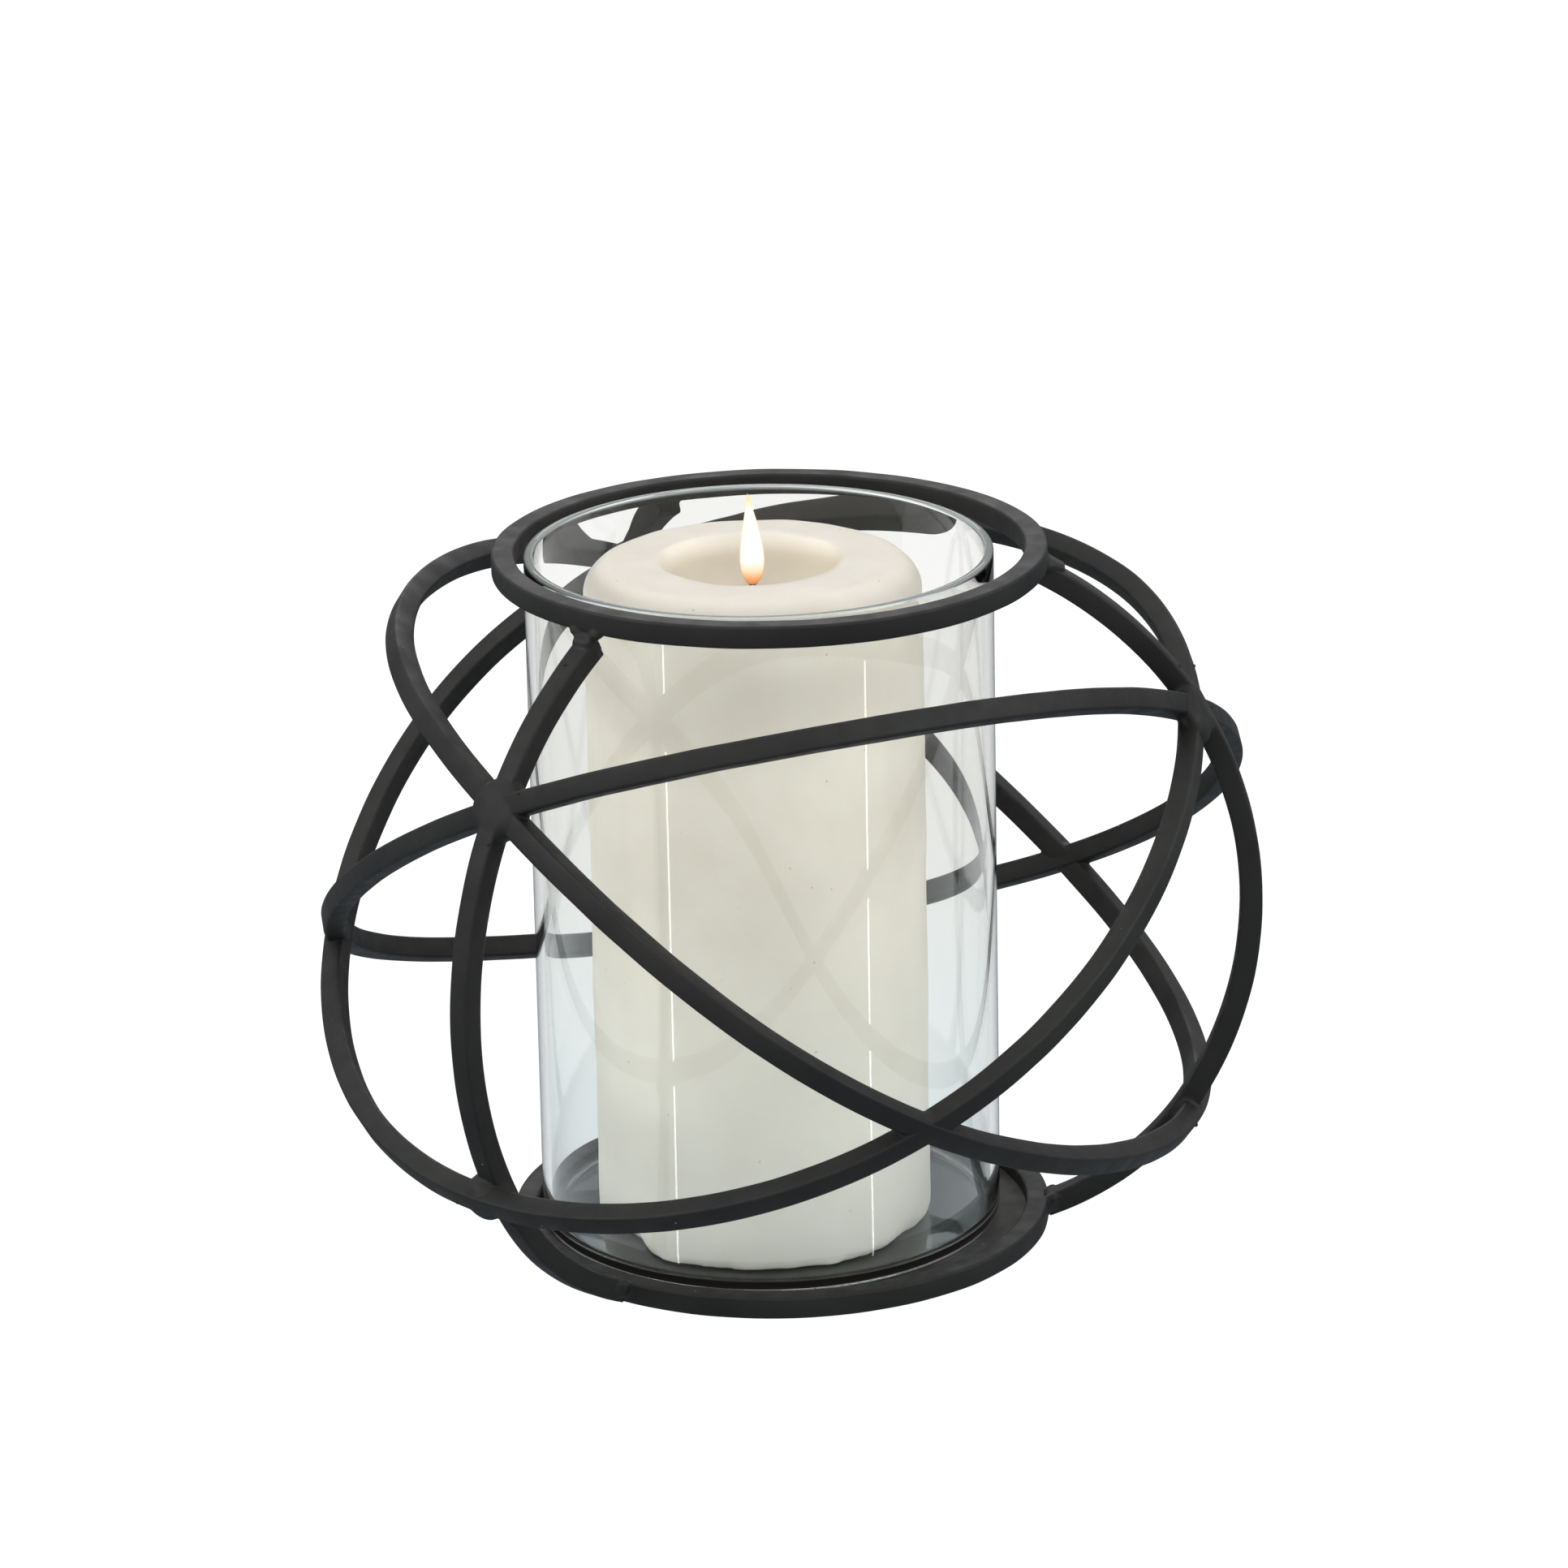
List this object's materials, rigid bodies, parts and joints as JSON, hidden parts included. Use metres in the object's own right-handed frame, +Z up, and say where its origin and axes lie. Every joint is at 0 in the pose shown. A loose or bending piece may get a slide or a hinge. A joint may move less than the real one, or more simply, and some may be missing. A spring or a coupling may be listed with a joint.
{
  "type": "hurricane candle lantern",
  "caption": "Ball-shaped cage of welded black square bar with tilted hoops, holding a clear glass cylinder with a tall ivory pillar candle inside",
  "frame": {"origin": "centre of the tray plate's underside, where the axis of both rings meets the table", "axes": "+Z up along the axis of both rings; -Y is the front; +X is to the right seen from the front"},
  "size_m": [0.2111, 0.2122, 0.1582],
  "materials": {
    "cage_steel": "matt black powder coat with a fine spatter",
    "clear_glass": "clear, polished",
    "candle_wax": "ivory wax, faintly mottled",
    "wick_cotton": "burnt brown cotton"
  },
  "bodies": {
    "cage": {"top_ring": "cage_steel", "bottom_ring": "cage_steel", "tray_plate": "cage_steel", "hoop_1_crown": "cage_steel", "hoop_1_near_upper": "cage_steel", "hoop_1_near_lower": "cage_steel", "hoop_1_far_lower": "cage_steel", "hoop_1_far_upper": "cage_steel", "rib_1_upper": "cage_steel", "rib_1_middle": "cage_steel", "rib_1_foot": "cage_steel", "weld_upper_1": "cage_steel", "weld_side_1": "cage_steel", "weld_low_1": "cage_steel", "weld_rib_top_1": "cage_steel", "weld_rib_foot_1": "cage_steel", "hoop_2_crown": "cage_steel", "hoop_2_near_upper": "cage_steel", "hoop_2_near_lower": "cage_steel", "hoop_2_far_lower": "cage_steel", "hoop_2_far_upper": "cage_steel", "rib_2_upper": "cage_steel", "rib_2_middle": "cage_steel", "rib_2_foot": "cage_steel", "weld_upper_2": "cage_steel", "weld_side_2": "cage_steel", "weld_low_2": "cage_steel", "weld_rib_top_2": "cage_steel", "weld_rib_foot_2": "cage_steel", "hoop_3_crown": "cage_steel", "hoop_3_near_upper": "cage_steel", "hoop_3_near_lower": "cage_steel", "hoop_3_far_lower": "cage_steel", "hoop_3_far_upper": "cage_steel", "rib_3_upper": "cage_steel", "rib_3_middle": "cage_steel", "rib_3_foot": "cage_steel", "weld_upper_3": "cage_steel", "weld_side_3": "cage_steel", "weld_low_3": "cage_steel", "weld_rib_top_3": "cage_steel", "weld_rib_foot_3": "cage_steel"},
    "glass": {"glass_cylinder": "clear_glass"},
    "candle_body": {"candle": "candle_wax", "wick": "wick_cotton"}
  },
  "joints": [
    {"name": "glass_lift", "type": "slide", "parent": "cage", "child": "glass", "axis": [0, 0, 1], "range_m": [0, 0.17]},
    {"name": "candle_lift", "type": "slide", "parent": "glass", "child": "candle_body", "axis": [0, 0, 1], "range_m": [0, 0.16]}
  ]
}
